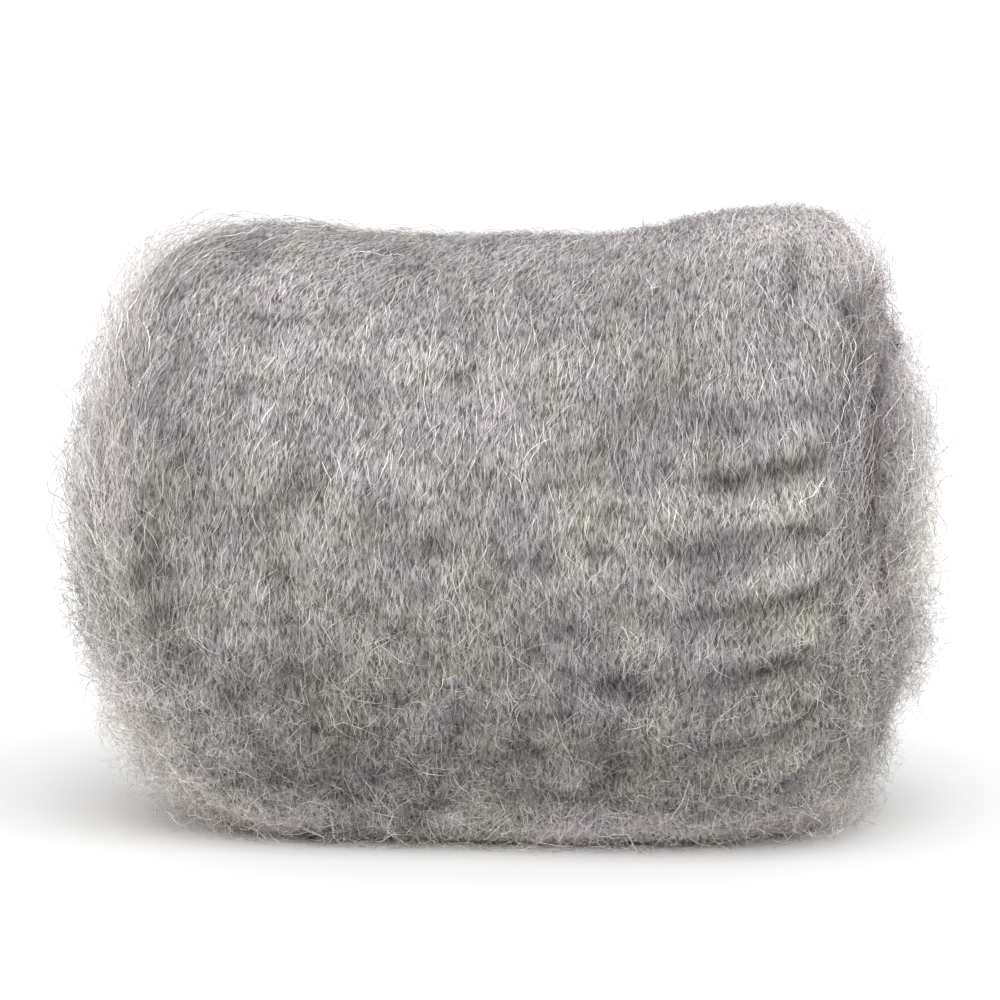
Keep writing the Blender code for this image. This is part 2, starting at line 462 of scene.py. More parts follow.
@dataclass(frozen=True)
class SteelFibre:
    """The finish of the fibres: drawn steel, of the tone that each fibre's mesh stores, painted light and
    shade included.
    """

    name: str
    colour: WoolColour = WoolColour()
    metallic: float = 0.35
    roughness: float = 0.48
    dark_roughness: float = 0.12

    def material(self) -> bpy.types.Material:
        """Makes the material.

        Returns:
            The new material.
        """
        made, graph, shader = new_finish(self.name)
        tone = graph.stored("tone")
        graph.feed(shader.inputs["Base Color"], self.colour.tinted(graph, tone))
        shader.inputs["Metallic"].default_value = self.metallic
        graph.feed(shader.inputs["Roughness"], self.roughness + (1.0 - tone) * self.dark_roughness)
        return made


STEEL = SteelFibre("steel_fibre")
GLINT = SteelFibre("bright_fibre", roughness=0.30)


@dataclass(frozen=True)
class Shadow:
    """A soft dark place on the wall with a ragged edge, where the wool opens."""

    x: float
    angle: float
    reach: float
    arc: float
    torn: Grain = Grain(0.004, 37.0)
    torn_middle: float = 0.85
    torn_swing: float = 0.7
    torn_least: float = 0.2

    def across(self, points: Array) -> Array:
        """How well each point's place along the roll agrees with the shadow's, from 0 to 1."""
        return np.exp(-(((points[:, 0] - self.x) / self.reach) ** 2))

    def over(self, form: "Form", points: Array) -> Array:
        """How deep in it each point lies, from 0 to 1."""
        along = (form.around(points) - self.angle) / self.arc
        torn = self.torn.share(points, self.torn_middle, self.torn_swing, self.torn_least)
        return self.across(points) * np.exp(-(along**4)) * torn


SLIT = Shadow(0.0478, math.radians(26), 0.0011, math.radians(11))
HOLE = Shadow(0.0574, math.radians(33), 0.0017, math.radians(4.5))
CREASE = Shadow(0.0608, math.radians(60), 0.0025, math.radians(43))


@dataclass
class Form:
    """Where a point lies on the roll, in the roll's own terms, for whole arrays of points.

    Bands of angles are counted round the roll, from the top over the front.
    """

    oval_power: float = 2.25
    top_lean: float = math.radians(42)
    top_to_front: Band = Band(math.radians(50), math.radians(14))
    top_to_back: Band = Band(math.radians(-75), math.radians(-20))
    front_lean: float = math.radians(9)
    front_to_foot: Band = Band(math.radians(125), math.radians(70))
    front_to_back: Band = Band(math.radians(-60), 0.0)
    lean_x: float = -0.026
    lean_left: float = 0.060
    lean_right: float = 0.046
    skin: Band = Band(0.7, 0.95)
    end_lean: float = math.radians(34)
    fanned_end: Band = Band(0.034, 0.064)
    sway: float = math.radians(20)
    sway_combed: float = 0.6
    sway_tangled: float = 1.6
    sways: Grain = Grain(0.0036, 5.0)
    tangle_least: float = 0.12
    tangle_foot: float = 0.75
    tangled_foot: Band = Band(0.008, -0.036)
    tangle_end: float = 0.5
    tangled_end: Band = Band(0.050, 0.066)
    loose_least: float = 0.08
    loose_foot: float = 0.65
    foot: Band = Band(0.016, 0.002)
    right_end: Band = Band(0.051, 0.058)
    left_end: Band = Band(-0.038, -0.056)
    held_in_crease: float = 0.75
    grain_turns_at: float = math.radians(86)
    grain_turns_over: float = math.radians(150)
    grain_turn: float = 0.5
    steepest: float = 1.0
    box: tuple[Vector, Vector] = field(default_factory=lambda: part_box(NODE))

    def __post_init__(self) -> None:
        """Works out the roll's middle and its half sizes from the frame's box."""
        low, high = (np.array(corner) for corner in self.box)
        self.middle = (low + high) / 2
        self.half = (high - low) / 2
        self.mean_radius = float(self.half[1] + self.half[2]) / 2

    def around(self, points: Array) -> Array:
        """The angle round the roll, from the top over the front."""
        y, z = (points - self.middle).T[1:]
        return np.arctan2(-y, z)

    def height(self, points: Array) -> Array:
        """How high each point lies: -1 at the foot, 0 at the axis and 1 at the top."""
        return (points[:, 2] - self.middle[2]) / self.half[2]

    def out(self, points: Array) -> Array:
        """How far out from the axis a point lies, with 1 at the skin."""
        y, z = np.abs((points - self.middle).T[1:])
        power = self.oval_power
        return ((y / self.half[1]) ** power + (z / self.half[2]) ** power) ** (1 / power)

    def round_way(self, points: Array) -> Array:
        """The direction round the roll that climbs the front."""
        y, z = (points - self.middle).T[1:]
        power = self.oval_power - 1
        slope_y = np.sign(y) * (np.abs(y) / self.half[1]) ** power / self.half[1]
        slope_z = np.sign(z) * (np.abs(z) / self.half[2]) ** power / self.half[2]
        way = np.stack([np.zeros_like(y), slope_z, -slope_y], axis=1)
        return way / np.maximum(np.linalg.norm(way, axis=1, keepdims=True), 1e-9)

    def lean(self, points: Array) -> Array:
        """The angle by which fibres lean to the right as they climb the front, and on over the top."""
        x = points[:, 0] - self.lean_x
        reach = np.where(x < 0, self.lean_left, self.lean_right)
        along = np.exp(-((x / reach) ** 2))
        angle = self.around(points)
        top = self.top_to_front.of(angle) * self.top_to_back.of(angle)
        front = self.front_to_foot.of(angle) * self.front_to_back.of(angle)
        combed = along * (self.front_lean * front + (self.top_lean - self.front_lean) * top)
        ends = self.fanned_end.of(np.abs(points[:, 0]))
        fanned = np.sign(points[:, 0]) * self.end_lean * self.height(points) * ends
        return combed * self.skin.of(self.out(points)) - fanned

    def flow(self, points: Array) -> Array:
        """The direction in which fibres run, which sways a little from place to place."""
        swing = self.sway * (self.sway_combed + self.sway_tangled * self.tangle(points))
        lean = (self.lean(points) + swing * self.sways.at(points))[:, None]
        along = np.array([[1.0, 0.0, 0.0]])
        return np.cos(lean) * self.round_way(points) + np.sin(lean) * along

    def tangle(self, points: Array) -> Array:
        """How tangled the wool is: combed at the top of the front, matted low down and at the ends."""
        low = self.tangle_foot * self.tangled_foot.of(points[:, 2] - self.middle[2])
        ends = self.tangle_end * self.tangled_end.of(np.abs(points[:, 0]))
        return np.clip(self.tangle_least + low + ends, 0.0, 1.0)

    def loose(self, points: Array) -> Array:
        """How loose the wool is: most at both ends, but held in the right one's crease, then at the foot."""
        right = self.right_end.of(points[:, 0]) * (1.0 - self.held_in_crease * CREASE.across(points))
        left = self.left_end.of(points[:, 0])
        foot = self.loose_foot * self.foot.of(points[:, 2])
        return np.clip(right + left + foot + self.loose_least, 0.0, 1.0)

    def grain(self, points: Array) -> Array:
        """The place on the web that a pattern reads: X across the fibres, Y and Z round the roll."""
        angle = self.around(points)
        radius = self.mean_radius
        inward = (1 - np.minimum(self.out(points), 1.0)) * radius
        x = points[:, 0] + np.sign(points[:, 0]) * inward
        climb = np.clip(self.grain_turns_at - angle, 0.0, self.grain_turns_over) * radius
        lean = np.clip(self.lean(points), -self.steepest, self.steepest)
        x = x - self.grain_turn * np.tan(lean) * climb
        return np.stack([x, radius * np.sin(angle), radius * np.cos(angle)], axis=1)


@dataclass
class Gathers:
    """The folds pressed across the fibres at the front: deep beside the right end, faint to the left."""

    pitch: float = 0.0094
    length: float = 0.030
    set_in: Band = Band(0.0, 0.4)
    rise: float = 0.0055
    first: float = math.radians(70)
    last: float = math.radians(130)
    fade_arc: float = math.radians(16)
    front_radius: float = 0.0420
    web_end: float = 0.058
    rim: Band = Band(0.0, 0.006)
    faint: float = 0.42
    faint_run: Band = Band(0.056, 0.0336)
    ragged: float = 0.0009
    ragged_grain: Grain = Grain(0.006, 19.0)
    broken: Grain = Grain(0.009, 41.0)
    broken_middle: float = 0.88
    broken_swing: float = 0.55
    broken_least: float = 0.45

    def valley(self, form: Form, points: Array) -> Array:
        """How deep in a fold's valley each point lies, from 0 to 1. No fold is alike all along."""
        angle = form.around(points)
        from_end = self.web_end - points[:, 0] + form.middle[0]
        to_right = np.clip(1 - from_end / self.length, 0.0, 1.0)
        ragged = self.ragged * self.ragged_grain.at(points)
        arc = (angle - self.first) * self.front_radius + self.rise * to_right**3 + ragged
        wave = 0.5 - 0.5 * np.cos(math.tau * arc / self.pitch)
        over = Band(self.first - self.fade_arc, self.first).of(angle)
        under = Band(self.last + self.fade_arc, self.last).of(angle)
        faint = self.faint * self.faint_run.of(from_end)
        along = np.maximum(self.set_in.of(to_right), faint) * self.rim.of(from_end)
        broken = self.broken.share(points, self.broken_middle, self.broken_swing, self.broken_least)
        return wave**3 * over * under * along * broken


@dataclass
class TurnEdges:
    """The grooves between the turns' edges on both ends, deepest inside the right end's outer turn.

    Widths are shares of a turn. Counted in turns from the outside, the grooves begin at the first
    number of begin and are whole at the second.
    """

    turn: float = 0.0098
    turns: int = 4
    start: float = math.radians(215)
    eye: Pair = (0.0028, 0.0076)
    left_drawn_in: float = 0.68
    right_drawn_in: float = 0.8825
    fine_width: float = 0.12
    fine_depth: float = 0.8
    deep_width: float = 0.22
    deep_depth: float = 0.7
    deep_low: float = 0.2
    deep_high: Band = Band(0.026, 0.056)
    begin: Pair = (0.45, 0.75)
    end: Band = Band(0.054, 0.058)

    def groove(self, form: Form, points: Array) -> Array:
        """How deep in a groove each point lies, from 0 to 1."""
        on_right = points[:, 0] > 0
        drawn = np.where(on_right, self.right_drawn_in, self.left_drawn_in)
        eye = sum(self.eye) / 2
        growth = form.out(points) / drawn * (eye + self.turn * self.turns) - eye
        passed = (form.around(points) - self.start) / math.tau % 1.0
        wound = growth / self.turn - passed
        between = np.abs(wound - np.round(wound))
        fine = np.exp(-((between / self.fine_width) ** 2)) * self.fine_depth
        skin = np.abs(wound - (self.turns - 1))
        right = on_right * (self.deep_low + (1.0 - self.deep_low) * self.deep_high.of(points[:, 2]))
        deep = np.exp(-((skin / self.deep_width) ** 2)) * right * self.deep_depth
        inside = Band(self.turns - self.begin[0], self.turns - self.begin[1]).of(wound)
        return np.maximum(fine, deep) * inside * self.end.of(np.abs(points[:, 0]))


@dataclass(frozen=True)
class Area:
    """A part of the wall with soft bounds, and how much painted light it adds there, or painted shade where
    negative.
    """

    lighter: float
    x: tuple[Band, ...] = ()
    height: tuple[Band, ...] = ()
    z: tuple[Band, ...] = ()

    def over(self, form: Form, points: Array) -> Array:
        """How much painted light it adds at each point."""
        made = np.full(len(points), self.lighter)
        measures = ((self.x, points[:, 0]), (self.height, form.height(points)), (self.z, points[:, 2]))
        for bands, values in measures:
            for band in bands:
                made = made * band.of(values)
        return made


LOWER_HALF = Band(0.45, -0.10)


@dataclass(frozen=True)
class Tones:
    """How light the wool is from place to place, with painted light and shade, how much painted shade its
    hollows get, and how it is tinted.
    """

    tufts: Grain = Grain((0.0066, 0.0036, 0.0036), 97.0)
    small_tufts: Grain = Grain((0.0034, 0.0020, 0.0020), 13.0)
    small_share: float = 0.6
    upper_share: float = 0.45
    evener_right: Band = Band(0.018, 0.032)
    evener: float = 0.45
    broad: Grain = Grain(0.017, 53.0)
    broad_swing: float = 0.10
    patches: Grain = Grain(0.007, 61.0)
    patch_swing: float = 0.10
    tuft_swing: float = 0.34
    # Painted shade low down, and painted light over the top and at both ends.
    foot_light: float = 0.83
    climb: Band = Band(-0.75, 0.65)
    climb_light: float = 0.27
    crown: Band = Band(0.72, 0.95)
    crown_light: float = 0.20
    inner_end_light: float = 0.30
    outer_end_light: float = 0.35
    outer_turn: Band = Band(0.60, 0.85)
    right_end: Band = Band(0.059, 0.064)
    left_end: Band = Band(-0.046, -0.062)
    left_end_share: float = 0.8
    # Areas of painted light, and shaded, an area of painted shade.
    low_right: Area = Area(0.14, x=(Band(-0.025, 0.040),), height=(LOWER_HALF,))
    right_rim: Area = Area(0.16, x=(Band(0.038, 0.052),))
    shaded: Area = Area(-0.16, x=(Band(0.012, 0.026),), height=(Band(0.10, 0.40), Band(0.88, 0.70)))
    top_tuft: Area = Area(0.20, x=(Band(0.030, 0.042),), height=(Band(0.84, 0.96),))
    left_corner: Area = Area(1.6, x=(Band(-0.028, -0.058),), z=(Band(0.040, 0.008),))
    foot: Area = Area(0.6, z=(Band(0.012, 0.004),))
    contact: Area = Area(1.3, z=(Band(0.006, 0.0005),))
    left_foot: Area = Area(1.3, x=(Band(-0.024, -0.056),), z=(Band(0.012, 0.003),))
    # How much painted shade falls in specks, fold valleys, grooves, gaps between clumps and hollows.
    specks: Grain = Grain(0.0035, 29.0)
    speck_edge: float = 0.38
    speck_rise: float = 0.2
    speck_shade: float = 2.2
    valley_depth: float = 0.75
    groove_depth: float = 0.8
    clump_gap_shade: float = 0.22
    hollow_shade: float = 0.62
    tint_middle: float = 0.54
    tint_low: float = 0.20
    tints: Grain = Grain(0.008, 71.0)
    tint_swing: float = 0.50
    small_tints: Grain = Grain(0.003, 83.0)
    small_tint_swing: float = 0.35
    tint_most: float = 0.8
    crease_tint: float = 0.95
    crease_left: Band = Band(0.0580, 0.0595)
    crease_right: Band = Band(0.0635, 0.0620)
    crease_foot: Band = Band(0.022, 0.040)
    crease_torn: Grain = Grain(0.006, 23.0)
    crease_middle: float = 0.75
    crease_swing: float = 1.0

    def low(self, form: Form, points: Array) -> Array:
        """How low each point lies: 0 on the upper half, 1 on the lower one."""
        return LOWER_HALF.of(form.height(points))

    def mottled(self, form: Form, points: Array) -> Array:
        """The wool's tufts, above 0, and the hollows between, below 0. Most show low, fewer on the right."""
        tufts = self.tufts.at(points)
        tufts += self.small_share * self.small_tufts.at(points)
        evener = 1.0 - self.evener * self.evener_right.of(points[:, 0])
        return tufts * (self.upper_share + (1.0 - self.upper_share) * self.low(form, points)) * evener

    def tone_and_painted_shading(self, form: Form, points: Array) -> Array:
        """How light the wool is: random tufts of tone, painted shade low down, painted light on top, at the
        ends and in areas.
        """
        x, height = points[:, 0], form.height(points)
        broad = self.broad_swing * self.broad.at(points) + self.patch_swing * self.patches.at(points)
        broad += self.tuft_swing * self.mottled(form, points)
        # Painted shade and light by height: darker towards the foot, lighter over the top.
        level = self.foot_light + self.climb_light * self.climb.of(height)
        level += self.crown_light * self.crown.of(height)
        # Painted light at both ends, most on the outer turn.
        ends = self.inner_end_light + self.outer_end_light * self.outer_turn.of(form.out(points))
        ends *= self.right_end.of(x) + self.left_end_share * self.left_end.of(x)
        # Each area adds painted light, or painted shade where it is negative, as in shaded.
        areas = (self.low_right, self.right_rim, self.shaded, self.top_tuft)
        edges = (self.left_corner, self.foot, self.contact, self.left_foot)
        lighter = sum(area.over(form, points) for area in areas + edges)
        return (1.0 + broad) * level * (1.0 + ends + lighter)

    def cavity(
        self, form: Form, points: Array, valley: Array, groove: Array, opened: Array,
        clumps: Array,
    ) -> Array:
        """How deep in the wool's hollows each point lies, which the finishes paint as shade.

        Args:
            form: the roll's form.
            points: the points, one a row.
            valley: how deep each lies in a fold's valley.
            groove: how deep each lies in a groove between turns.
            opened: how deep each lies where the wool opens.
            clumps: the wool's clumps, with the gaps between them below 0.

        Returns:
            The depths, from 0 to 1, used as painted shade.
        """
        # Painted shade in small pits, fold valleys, grooves and openings, and between clumps and tufts.
        specks = np.clip(self.specks.at(points) - self.speck_edge, 0.0, self.speck_rise) * self.speck_shade
        deep = np.maximum.reduce([valley * self.valley_depth, groove * self.groove_depth, opened, specks])
        hollows = np.clip(-self.mottled(form, points), 0.0, 1.0)
        gaps = np.clip(-clumps, 0, 1)
        return np.clip(deep + gaps * self.clump_gap_shade + hollows * self.hollow_shade, 0.0, 1.0)

    def tint(self, form: Form, points: Array) -> Array:
        """The wool's tint: olive below 0.3, violet about 0.8, brown near 1, as at the right end's crease."""
        patches = self.tint_middle + self.tint_swing * self.tints.at(points)
        patches += self.small_tint_swing * self.small_tints.at(points)
        patches -= self.tint_low * self.low(form, points)
        x, z = points[:, 0], points[:, 2]
        crease = self.crease_left.of(x) * self.crease_right.of(x) * self.crease_foot.of(z)
        crease *= self.crease_torn.share(points, self.crease_middle, self.crease_swing, 0.0)
        return np.clip(patches, 0.0, self.tint_most) * (1.0 - crease) + self.crease_tint * crease


@dataclass
class WoolBody:
    """The matted wool that the fibres lie on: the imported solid's form, roughened along the fibres.

    Where the wool is loose its surface lies a little deeper, so that fibres alone make its edge.
    """

    form: Form
    gathers: Gathers
    edges: TurnEdges
    tones: Tones = Tones()
    merge: float = 1e-6
    voxel: float = 1.4 * MM
    smoothing: float = 0.5
    smoothings: int = 3
    clump: float = 0.45 * MM
    clump_grain: Grain = Grain((0.0022, 0.010, 0.010), 7.0)
    lump: float = 0.25 * MM
    lump_grain: Grain = Grain(0.012, 3.0)
    valley_depth: float = 0.7 * MM
    groove_depth: float = 0.8 * MM
    loose_depth: float = 1.0 * MM
    above_floor: Band = Band(0.0004, 0.006)

    def build(self) -> bpy.types.Object:
        """Makes the body's mesh and stores on it what the fibres and the finish read.

        Returns:
            The body, ready to be dressed.
        """
        body = self.remeshed()
        mesh = body.data
        points = self.points(mesh)
        normals = np.empty(len(mesh.vertices) * 3, np.float32)
        mesh.vertex_normals.foreach_get("vector", normals)
        normals = normals.reshape(-1, 3)
        form, tones = self.form, self.tones
        grain = form.grain(points)
        valley = self.gathers.valley(form, points)
        groove = self.edges.groove(form, points)
        # Painted shadows where the wool opens; the wall also sinks there.
        opened = np.maximum.reduce([shadow.over(form, points) for shadow in (SLIT, HOLE, CREASE)])
        loose = form.loose(points)
        clumps = self.clump_grain.at(grain)
        rise = self.clump * clumps + self.lump * self.lump_grain.at(points)
        rise -= self.valley_depth * np.maximum(valley, opened)
        rise -= self.groove_depth * groove + self.loose_depth * loose
        rise *= self.above_floor.of(points[:, 2])
        mesh.vertices.foreach_set("co", (points + normals * rise[:, None]).astype(np.float32).ravel())
        mesh.update()
        kept = {
            "flow": form.flow(points),
            "grain": grain,
            "tangle": form.tangle(points),
            "loose": loose,
            # cavity and the tone map carry painted shade and painted light for both finishes.
            "cavity": tones.cavity(form, points, valley, groove, opened, clumps),
            "tone_and_painted_shading": tones.tone_and_painted_shading(form, points),
            "tint": tones.tint(form, points),
        }
        for name, values in kept.items():
            self.store(mesh, name, values)
        mesh.shade_smooth()
        return body

    def remeshed(self) -> bpy.types.Object:
        """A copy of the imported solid's mesh, merged and rebuilt in even faces."""
        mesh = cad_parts[NODE].data.copy()
        mesh.name = "wool_body"
        mesh.materials.clear()
        merged = bmesh.new()
        merged.from_mesh(mesh)
        bmesh.ops.remove_doubles(merged, verts=merged.verts, dist=self.merge)
        merged.to_mesh(mesh)
        merged.free()
        body = bpy.data.objects.new("wool_body", mesh)
        bpy.context.scene.collection.objects.link(body)
        remesh = body.modifiers.new("even_faces", "REMESH")
        remesh.mode = "VOXEL"
        remesh.voxel_size = self.voxel
        smooth = body.modifiers.new("soften", "SMOOTH")
        smooth.factor = self.smoothing
        smooth.iterations = self.smoothings
        return plain(body)

    @staticmethod
    def points(mesh: bpy.types.Mesh) -> Array:
        """The mesh's points as rows."""
        flat = np.empty(len(mesh.vertices) * 3, np.float32)
        mesh.vertices.foreach_get("co", flat)
        return flat.reshape(-1, 3).astype(float)

    @staticmethod
    def store(mesh: bpy.types.Mesh, name: str, values: Array) -> None:
        """Keeps a number or a vector for each point, under a name."""
        kind, key = ("FLOAT", "value") if values.ndim == 1 else ("FLOAT_VECTOR", "vector")
        kept = mesh.attributes.new(name, kind, "POINT")
        kept.data.foreach_set(key, values.astype(np.float32).ravel())


def plain(made: bpy.types.Object) -> bpy.types.Object:
    """Replaces an object's mesh with its evaluated one and drops its modifiers.

    Args:
        made: the object, with live modifiers.

    Returns:
        The same object, with a plain mesh.
    """
    bpy.context.view_layer.update()
    graph = bpy.context.evaluated_depsgraph_get()
    evaluated = made.evaluated_get(graph)
    mesh = bpy.data.meshes.new_from_object(evaluated, preserve_all_data_layers=True, depsgraph=graph)
    made.modifiers.clear()
    made.data = mesh
    mesh.name = made.name
    return made


@dataclass(frozen=True)
class Habits:
    """What the fibres of all layers share: how they vary, and what the tangle does to them.

    A pair that starts with combed is what combed wool has and what full tangle adds to it.
    """

    combed_slant: Pair = (0.5, 1.3)
    combed_bow: Pair = (0.6, 1.4)
    combed_curl: Pair = (0.5, 2.4)
    lengths: Pair = (0.55, 1.35)
    thicknesses: Pair = (0.65, 1.3)
    tip_taper: float = 0.6
    root_rise: float = 0.4
    held_in_cavity: float = 0.8
    # Painted shade for fibres that lie in the hollows.
    shade_in_cavity: float = 0.72
    mostly_dark: float = 1.3
    own_way: tuple[float, float, float] = (1.0, 1.7, 2.3)
    own_ways: float = 50.0

    def by_tangle(self, tangle: Value, pair: Pair) -> Value:
        """What a fibre has where the wool is as tangled as this."""
        return tangle * pair[1] + pair[0]


@dataclass(frozen=True)
class BakeMap:
    """Where a fibre's faces lie on the baked picture: across by tone, up by tint, each a little apart."""

    margin: float = 0.01
    tone: float = 0.97
    side: float = 0.006
    tint: float = 0.94
    along: float = 0.03

    def spot(self, tree: Growth) -> Value:
        """The place on the map of each corner of a fibre's faces."""
        across = tree.named("tone") * self.tone + tree.named("side") * self.side + self.margin
        upward = tree.named("tint") * self.tint + tree.named("along") * self.along + self.margin
        return tree.geometry("ShaderNodeCombineXYZ", None, {"X": across, "Y": upward})


@dataclass
class FibreLayer:
    """One layer of fibres, grown from the body by a Geometry Nodes tree.

    Each fibre is a short run of points about a random point of the body. It is laid along the way
    the wool flows there, bowed sideways, pressed onto the body and then lifted and curled.
    """

    name: str
    count: int
    points: int
    length: float
    radius: float
    section: Section = Section.FLAT
    spread: Spread = Spread.EVEN
    wander: float = 0.30
    bow: float = 0.16
    sink: float = 0.0002
    lift: float = 0.0006
    fly: float = 0.0
    curl: float = 0.0003
    curl_size: float = 0.0035
    dark: float = 0.17
    bright: float = 0.60
    seed: int = 1
    finish: SteelFibre = STEEL
    habits: Habits = Habits()
    bake_map: BakeMap = BakeMap()

    def sizes(self, density: float) -> dict[str, float | int]:
        """The tree's named inputs and their values."""
        return {
            "Density": density,
            "Points": self.points,
            "Length": self.length,
            "Radius": self.radius,
            "Wander": self.wander,
            "Bow": self.bow,
            "Sink": self.sink,
            "Lift": self.lift,
            "Fly": self.fly,
            "Curl": self.curl,
            "Curl Size": self.curl_size,
            "Dark": self.dark,
            "Bright": self.bright,
            "Seed": self.seed,
        }

    def strands(self, tree: Growth) -> Value:
        """Seeds the body with points, and puts a run of joined points on each."""
        density = tree.size("Density")
        if self.spread is not Spread.EVEN:
            density = density * tree.named(self.spread.value)
        inputs = {"Mesh": tree.size("Body"), "Density": density, "Seed": tree.size("Seed")}
        made = tree.node("GeometryNodeDistributePointsOnFaces", {"distribute_method": "RANDOM"}, inputs)
        seeds = tree.out(made, "Points")
        seeds = tree.kept(seeds, "out", tree.out(made, "Normal"), "FLOAT_VECTOR")
        seeds = tree.kept(seeds, "root", tree.geometry("GeometryNodeInputPosition"), "FLOAT_VECTOR")
        seeds = tree.kept(seeds, "strand", tree.geometry("GeometryNodeInputIndex"), "INT")
        line = {"Count": tree.size("Points"), "Offset": (0.0, 0.0, 0.0)}
        run = tree.geometry("GeometryNodeMeshLine", {"mode": "OFFSET"}, line)
        placed = tree.geometry("GeometryNodeInstanceOnPoints", None, {"Points": seeds, "Instance": run})
        return tree.geometry("GeometryNodeRealizeInstances", None, {"Geometry": placed})

    def share(self, tree: Growth) -> Value:
        """How far along its own strand a point is, from 0 to 1."""
        rank = tree.geometry("GeometryNodeInputIndex") % tree.size("Points")
        return rank / (tree.size("Points") - 1.0)

    def laid(self, tree: Growth, strands: Value) -> Value:
        """Lays the strands out along the wool's flow, bowed and pressed onto the body."""
        who = tree.named("strand", "INT")
        out = tree.named("out", "FLOAT_VECTOR")
        tangle = tree.named("tangle")
        habits = self.habits
        wander = tree.size("Wander") * habits.by_tangle(tangle, habits.combed_slant)
        slant = tree.chance(who, Draw.SLANT, -1.0, 1.0) * wander
        turned = tree.node(
            "ShaderNodeVectorRotate",
            {"rotation_type": "AXIS_ANGLE"},
            {"Vector": tree.named("flow", "FLOAT_VECTOR"), "Axis": out, "Angle": slant},
        )
        way = tree.out(turned)
        across = tree.vector("NORMALIZE", tree.vector("CROSS_PRODUCT", out, way))
        along = tree.vector("NORMALIZE", tree.vector("CROSS_PRODUCT", across, out))
        length = tree.size("Length") * tree.chance(who, Draw.LENGTH, *habits.lengths)
        middle = self.share(tree) - 0.5
        bow = tree.size("Bow") * habits.by_tangle(tangle, habits.combed_bow)
        bend = middle * middle * 4.0 * tree.chance(who, Draw.BOW, -1.0, 1.0) * bow
        run = tree.vector("SCALE", along, scale=middle * length)
        side = tree.vector("SCALE", across, scale=bend * length)
        place = tree.vector("ADD", tree.named("root", "FLOAT_VECTOR"), tree.vector("ADD", run, side))
        onto = tree.nearest(tree.size("Body"), tree.geometry("GeometryNodeInputPosition"), place)
        return tree.geometry("GeometryNodeSetPosition", None, {"Geometry": strands, "Position": onto})

    def lifted(self, tree: Growth, strands: Value) -> Value:
        """Bows each strand out of the body, lets its tip fly, curls it, and keeps it off the floor."""
        who = tree.named("strand", "INT")
        tangle = tree.named("tangle")
        loose = tree.named("loose")
        place = tree.geometry("GeometryNodeInputPosition")
        cavity = tree.nearest(tree.size("Body"), tree.named("cavity"), place, "FLOAT")
        # deep also darkens the fibre's tone as painted shade.
        strands = tree.kept(strands, "deep", cavity)
        habits = self.habits
        share = self.share(tree)
        arch = tree.math("SINE", share * math.pi)
        root, rest = habits.root_rise, 1.0 - habits.root_rise
        free = 1.0 - tree.named("deep") * habits.held_in_cavity
        bow = (arch * rest + root) * tree.chance(who, Draw.LIFT) * tree.size("Lift") * free
        tip = (share * rest + root) * tree.chance(who, Draw.FLY) * loose * tree.size("Fly")
        height = bow + tip - tree.size("Sink") * (1.0 - arch)
        own = tree.vector("SCALE", habits.own_way, scale=tree.chance(who, Draw.CURL, 0.0, habits.own_ways))
        near = tree.vector("SCALE", place, scale=1.0 / tree.size("Curl Size"))
        pattern = {"Vector": tree.vector("ADD", near, own), "Scale": 1.0, "Detail": 1.0}
        wild = tree.node("ShaderNodeTexNoise", None, pattern)
        astray = tree.vector("SUBTRACT", tree.out(wild, "Color"), (0.5, 0.5, 0.5))
        swing = tree.size("Curl") * habits.by_tangle(tangle, habits.combed_curl) * 2.0
        curl = tree.vector("SCALE", astray, scale=swing)
        risen = tree.vector("SCALE", tree.named("out", "FLOAT_VECTOR"), scale=height)
        moved = tree.vector("ADD", place, tree.vector("ADD", risen, curl))
        parts = tree.node("ShaderNodeSeparateXYZ", None, {"Vector": moved})
        x, y, z = (tree.out(parts, name) for name in "XYZ")
        above = tree.math("MAXIMUM", z, tree.size("Radius") * 1.5)
        kept = tree.out(tree.node("ShaderNodeCombineXYZ", None, {"X": x, "Y": y, "Z": above}))
        return tree.geometry("GeometryNodeSetPosition", None, {"Geometry": strands, "Position": kept})

    def facing(self, tree: Growth, who: Value) -> Value:
        """Which way a flat fibre faces: out from the body, or any way across the flow."""
        out = tree.named("out", "FLOAT_VECTOR")
        if self.section is Section.FLAT:
            return out
        turn = tree.chance(who, Draw.FACING, 0.0, math.pi)
        across = tree.vector("CROSS_PRODUCT", out, tree.named("flow", "FLOAT_VECTOR"))
        outward = tree.vector("SCALE", out, scale=tree.math("COSINE", turn))
        return tree.vector("ADD", outward, tree.vector("SCALE", across, scale=tree.math("SINE", turn)))

    def skinned(self, tree: Growth, strands: Value, material: bpy.types.Material) -> Value:
        """Gives the strands their thickness, their tone, their map and their finish."""
        who = tree.named("strand", "INT")
        habits = self.habits
        dark, bright = tree.size("Dark"), tree.size("Bright")
        shade = dark + tree.chance(who, Draw.TONE) ** habits.mostly_dark * (bright - dark)
